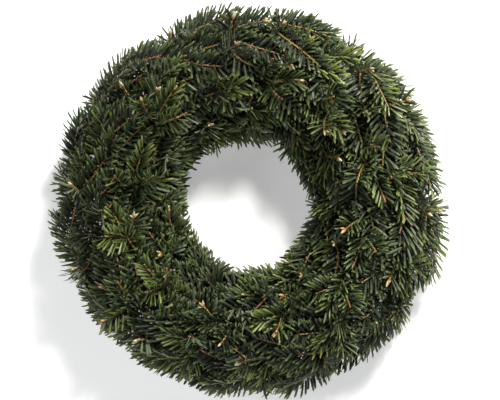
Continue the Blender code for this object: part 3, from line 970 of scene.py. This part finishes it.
def needle_material():
    """Fir needles: green above, with two silver bands below; painted shade makes them darker towards the
    foot and at the edges, a painted highlight runs down the middle, and the tip is paler, partly their own
    colour and partly a painted glint.
    """
    m = Nodes("fir_needle", 0.42, Specular_IOR_Level=0.24)
    around, along = m.own_places()
    around = m.maths("FRACT", around)
    above = m.maths("LESS_THAN", around, 0.5)
    tone = m.attribute("tone")
    age = m.attribute("age")
    dark = m.ramp(tone, (0.0, (0.004, 0.006, 0.004)), (0.35, (0.016, 0.027, 0.010)),
                  (0.65, (0.068, 0.100, 0.025)), (1.0, (0.19, 0.235, 0.058)))
    young = m.mix(tone, (0.09, 0.14, 0.022), (0.33, 0.39, 0.07))
    green = m.mix(age, dark, young)
    green = m.mottled(green, 420.0, 0.35, (0.05, 0.075, 0.02))
    # Painted shade: darker towards the needle's foot by the stem, brighter towards its tip.
    green = m.mix(1.0, green, m.ramp(along, (0.0, 0.20), (0.45, 0.72), (0.9, 1.3)), "MULTIPLY")
    # Paler at the tip: partly the needles' own pale tips, partly a painted highlight for the glints at their
    # blunt tips.
    tip = m.ramp(along, (0.74, 0.0), (1.0, 0.6))
    green = m.mix(tip, green, (0.19, 0.24, 0.085))
    # Painted shading across the upper side: a painted highlight down the middle, painted shade towards the
    # edges.
    edge = m.ramp(m.apart(around, 0.25), (0.0, 1.15), (0.11, 0.9), (0.2, 0.35))
    green = m.mix(1.0, green, edge, "MULTIPLY")
    bands = m.ramp(m.apart(around, 0.75), (0.03, 0.15), (0.08, 0.75), (0.17, 0.75), (0.22, 0.1))
    silver = m.mix(bands, (0.05, 0.08, 0.03), (0.16, 0.18, 0.13))
    m.link(m.ramp(tone, (0.0, 0.60), (0.35, 0.48), (0.8, 0.34)), m.shader.inputs["Roughness"])
    m.colour(m.mix(above, silver, green))
    m.bump(m.noise(900.0), 0.25, 0.0003)
    return m.material


def bark_material():
    """Young fir bark: orange-brown, greener at the tips, with darker needle scars."""
    m = Nodes("fir_bark", 0.62)
    tone = m.attribute("tone")
    old = m.ramp(tone, (0.0, (0.15, 0.070, 0.024)), (0.5, (0.30, 0.155, 0.042)), (1.0, (0.40, 0.27, 0.07)))
    colour = m.mix(m.maths("MULTIPLY", m.attribute("age"), 0.5), old, (0.30, 0.24, 0.07))
    scars = m.add("TexVoronoi", [("Scale", 900.0), ("Vector", m.object_coordinates())], feature="F1")
    scar = m.ramp(scars.outputs["Distance"], (0.15, 0.8), (0.42, 0.0))
    colour = m.mix(scar, colour, (0.07, 0.028, 0.012))
    m.colour(m.mottled(colour, 160.0, 0.5, (0.12, 0.055, 0.022)))
    m.bump(scars.outputs["Distance"], 0.6, 0.0005)
    return m.material


def bud_material():
    """Buds: red-brown at the foot, cream to pale green at the tip, with darker gaps between their scales."""
    m = Nodes("fir_bud", 0.42, Coat_Weight=0.3, Coat_Roughness=0.3)
    _, along = m.own_places()
    tip = m.ramp(m.attribute("tone"), (0.0, (0.62, 0.58, 0.36)), (0.45, (0.50, 0.50, 0.20)),
                 (0.75, (0.50, 0.32, 0.14)), (1.0, (0.38, 0.13, 0.06)))
    foot = m.ramp(m.attribute("tone"), (0.0, (0.42, 0.20, 0.06)), (0.6, (0.42, 0.12, 0.04)),
                  (1.0, (0.30, 0.06, 0.03)))
    colour = m.mix(m.ramp(along, (0.3, 0.0), (0.62, 1.0)), foot, tip)
    scales = m.add("TexVoronoi", [("Scale", 700.0), ("Vector", m.object_coordinates())],
                   feature="DISTANCE_TO_EDGE")
    edge = m.ramp(scales.outputs["Distance"], (0.02, 0.6), (0.12, 0.0))
    m.colour(m.mix(edge, colour, (0.16, 0.065, 0.03)))
    m.bump(scales.outputs["Distance"], 0.6, 0.0004)
    return m.material


def straw_material():
    """Rye straw: pale gold stalks with grey and brown ones among them, ribbed along their length."""
    m = Nodes("rye_straw", 0.5)
    colour = m.ramp(m.attribute("tone"), (0.0, (0.16, 0.10, 0.045)), (0.4, (0.38, 0.27, 0.12)),
                    (0.8, (0.55, 0.42, 0.20)), (1.0, (0.42, 0.40, 0.22)))
    m.colour(m.mottled(colour, 90.0, 0.5, (0.22, 0.15, 0.07)))
    m.bump(m.noise(1200.0), 0.4, 0.0003)
    return m.material


def wire_material():
    """Green lacquered winding wire, with the lacquer rubbed thin in places."""
    m = Nodes("green_wire", 0.3, Coat_Weight=0.6, Coat_Roughness=0.15)
    worn = m.ramp(m.noise(240.0), (0.62, 0.0), (0.72, 1.0))
    m.colour(m.mix(worn, (0.014, 0.06, 0.022), (0.09, 0.085, 0.075)))
    m.bump(m.noise(900.0), 0.2, 0.0002)
    return m.material


def straw_surface(turn, section):
    """How far the straw stands from its centre line: it bulges between the turns of the wire."""
    phase = (-turn * WIRE_TURNS - section) / (2 * math.pi) % 1.0
    return PINCHED_RADIUS + (STRAW_RADIUS - PINCHED_RADIUS) * np.sin(math.pi * phase) ** PINCH_SHAPE


def straw_ring(finish, middle, rng):
    """The ring: a packed core with loose stalks laid round it, all pinched where the wire passes."""
    bpy.ops.mesh.primitive_torus_add(major_segments=144, minor_segments=24, major_radius=RING_RADIUS,
                                     minor_radius=STRAW_RADIUS, location=(0, 0, CENTRE_HEIGHT))
    core = bpy.context.object
    bpy.ops.object.transform_apply(location=True, rotation=True, scale=True)
    points, faces = taken(core)
    blocks, _ = by_size(faces)
    turn = np.arctan2(points[:, 1], points[:, 0])
    section = np.arctan2(points[:, 2] - CENTRE_HEIGHT, np.hypot(points[:, 0], points[:, 1]) - RING_RADIUS)
    growth = Growth()
    core_points = ring_places(turn, section, straw_surface(turn, section) - STRAW_CORE)
    growth.add(core_points + middle, blocks, 0, [np.zeros((block.size, 2)) for block in blocks],
               np.full(len(points), CORE_TONE), np.zeros(len(points)))
    steps = np.linspace(0, 1, STALK_STEPS)
    corners = np.arange(STALK_SIDES) * 2 * math.pi / STALK_SIDES
    faces = tube_faces(STALK_STEPS, STALK_SIDES)
    count = STALK_STEPS * STALK_SIDES
    for _ in range(STALKS):
        length = rng.uniform(*STALK_LENGTH) / RING_RADIUS
        start, section = rng.uniform(0, 2 * math.pi), rng.uniform(0, 2 * math.pi)
        skew = rng.normal(0, STALK_SKEW)
        turns = start + steps * length
        sections = section + skew * steps + STALK_WAVE * np.sin(steps * STALK_WAVES + start)
        radius = rng.uniform(*STALK_RADIUS)
        heights = straw_surface(turns, sections) + rng.uniform(*STALK_RISE) * radius
        heights[[0, -1]] -= radius * rng.uniform(*STALK_END_DIP, 2)
        spine = ring_places(turns, sections, heights)
        spine[:, 2] = np.maximum(spine[:, 2], radius)
        along = normalised(np.gradient(spine, axis=0))
        flat = np.cos(sections)
        out = np.stack([flat * np.cos(turns), flat * np.sin(turns), np.sin(sections)], axis=-1)
        side = np.cross(out, along)
        rings = spine[:, None] + radius * (np.cos(corners)[None, :, None] * side[:, None]
                                           + STALK_FLATTER * np.sin(corners)[None, :, None] * out[:, None])
        growth.add(rings.reshape(-1, 3) + middle, faces, 0, [np.zeros((block.size, 2)) for block in faces],
                   np.full(count, np.clip(rng.normal(*STALK_TONE), 0, 1)), np.zeros(count))
    return growth.made("straw_stalks", [finish])


def ring_places(turn, section, height):
    """The points at arrays of turns, section angles and heights, on the floor or above it."""
    radius = RING_RADIUS + height * np.cos(section)
    up = np.maximum(CENTRE_HEIGHT + height * np.sin(section), 0.0)
    return np.stack([radius * np.cos(turn), radius * np.sin(turn), up], axis=-1)


def binding_wire(held, finish, middle):
    """The wire, round, along the frame's spiral: over each held stem and down on the straw elsewhere."""
    turns, sections, heights = [], [], []
    for turn in range(WIRE_TURNS):
        for corner in range(CORNERS):
            under = STEM_HEIGHT + STEM_RADIUS + OVER_STEM if (turn, corner) in held else PINCHED_RADIUS + GAP
            turns.append(wire_turn(turn, corner))
            sections.append((turn + (corner + 0.5) / CORNERS) * 2 * math.pi)
            heights.append(under + WIRE_RADIUS / 2 / math.cos(math.pi / CORNERS))
    points = ring_places(np.array(turns), np.array(sections), np.array(heights)) + middle
    curve = bpy.data.curves.new("wire_path", "CURVE")
    curve.dimensions = "3D"
    spline = curve.splines.new("POLY")
    spline.points.add(len(points) - 1)
    spline.points.foreach_set("co", np.column_stack([points, np.ones(len(points))]).ravel())
    spline.use_cyclic_u = True
    curve.bevel_depth = WIRE_RADIUS
    curve.bevel_resolution = 2
    pick(placed("round_wire", curve))
    bpy.ops.object.convert(target="MESH")
    piece = bpy.context.object
    piece.data.materials.clear()
    piece.data.materials.append(finish)
    bpy.ops.object.shade_smooth()
    return piece


def branch_piece(label, shoots, middle, needle, bud, finishes, rng):
    """One branch: the bark, needles and buds of its stem and shoots."""
    growth = Growth()
    branch_tone = np.clip(rng.normal(*BRANCH_TONE), *BRANCH_TONES)
    young = rng.choice(YOUNG, p=YOUNG_CHANCES)
    bud_tone = rng.uniform(*BUD_TONES)
    bark_tone = rng.uniform(*BARK_TONES)
    for number, shoot in enumerate(shoots):
        line = Line(shoot, BARK_STEP)
        tilt = UNDER_TILT if shoot.under else rng.choice(TILTS, p=TILT_CHANCES) + rng.normal(0, TILT_STRAY)
        kind = {
            "stem": number == 0,
            "bare": BUTT_LENGTH + BARE_LENGTH * BARE_SHARE if number == 0 else BARE_TWIG,
            "thick": 1.0 if number == 0 else TWIG_THIN,
            "tilt": tilt,
            "fan": UNDER_FAN if shoot.under else rng.uniform(*FAN),
            "size": rng.uniform(*SHOOT_SIZES),
            "wide": UNDER_WIDER if shoot.under else 1.0,
            "spacing": NEEDLE_SPACING * (UNDER_SPARSER if shoot.under else 1.0),
            # A shoot deep in the foliage has its tone lowered: painted shade.
            "tone": float(np.clip(branch_tone + rng.normal(0, SHOOT_TONE_STRAY)
                                  - UNDER_PAINTED_SHADE * shoot.under, 0, 1)),
            "young": 0.0 if shoot.under else young * rng.uniform(*YOUNG_SHARES),
            "bud": bud_tone,
        }
        grow_bark(growth, line, dict(kind, tone=bark_tone), rng)
        grow_needles(growth, needle, line, kind, rng)
        if not shoot.under and rng.random() < BUD_CHANCE:
            grow_buds(growth, bud, line, kind, rng)
    growth.points = [points + middle for points in growth.points]
    return growth.made(label.replace("branch", "spray"), finishes)


def floor_and_light():
    """The pale floor, the soft lights and the camera straight above."""
    bpy.ops.mesh.primitive_plane_add(size=FLOOR_SIZE, location=(0, 0, -FLOOR_DROP))
    floor = bpy.context.object
    floor.name = "pale_floor"
    m = Nodes("pale_floor", 0.9, Emission_Color=(1.0, 1.0, 1.0, 1.0), Emission_Strength=FLOOR_GLOW)
    m.colour(m.mix(m.noise(3.0), (0.93, 0.93, 0.93), (0.96, 0.96, 0.96)))
    floor.data.materials.append(m.material)
    for name, at, size, power, colour in LIGHTS:
        light = bpy.data.lights.new(name, "AREA")
        light.size = size
        light.energy = power
        light.color = colour
        lamp = placed(name, light)
        lamp.location = at
        direction = -lamp.location.normalized()
        lamp.rotation_euler = direction.to_track_quat("-Z", "Y").to_euler()
    world = bpy.data.worlds.new("soft_room")
    world.use_nodes = True
    tree = world.node_tree
    height = tree.nodes.new("ShaderNodeSeparateXYZ")
    tree.links.new(tree.nodes.new("ShaderNodeTexCoord").outputs["Generated"], height.inputs["Vector"])
    fade = tree.nodes.new("ShaderNodeValToRGB")
    for _ in WORLD_FADE[2:]:
        fade.color_ramp.elements.new(0.5)
    for element, (at, level) in zip(fade.color_ramp.elements, WORLD_FADE):
        element.position = at
        element.color = (level, level, level, 1)
    tree.links.new(height.outputs["Z"], fade.inputs["Fac"])
    tree.links.new(fade.outputs["Color"], tree.nodes["Background"].inputs["Color"])
    tree.nodes["Background"].inputs["Strength"].default_value = WORLD_STRENGTH
    bpy.context.scene.world = world
    bpy.context.scene.view_settings.view_transform = "Standard"
    camera = bpy.data.cameras.new("camera")
    camera.lens = CAMERA_LENS
    camera.sensor_width = SENSOR_WIDTH
    seen = placed("camera", camera)
    seen.location = CAMERA_PLACE
    bpy.context.scene.camera = seen


def main():
    low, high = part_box("straw_ring")
    middle = np.array([(low.x + high.x) / 2, (low.y + high.y) / 2, 0.0])
    branches, crowd = lay_out()
    held = {(turn, corner) for _, turn, corner, _ in branches}
    fill_out(branches, crowd)
    rng = np.random.default_rng(SEED)
    finishes = [needle_material(), bark_material(), bud_material()]
    needle, bud = Form(model_needle()), Form(model_bud())
    for label, _, _, shoots in branches:
        piece = branch_piece(label, shoots, middle, needle, bud, finishes, rng)
        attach(piece, "root")
        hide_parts(label)
    straw = straw_ring(straw_material(), middle, rng)
    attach(straw, "root")
    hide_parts("straw_ring")
    wire = binding_wire(held, wire_material(), middle)
    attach(wire, "root")
    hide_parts("binding_wire")
    floor_and_light()
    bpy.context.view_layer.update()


main()
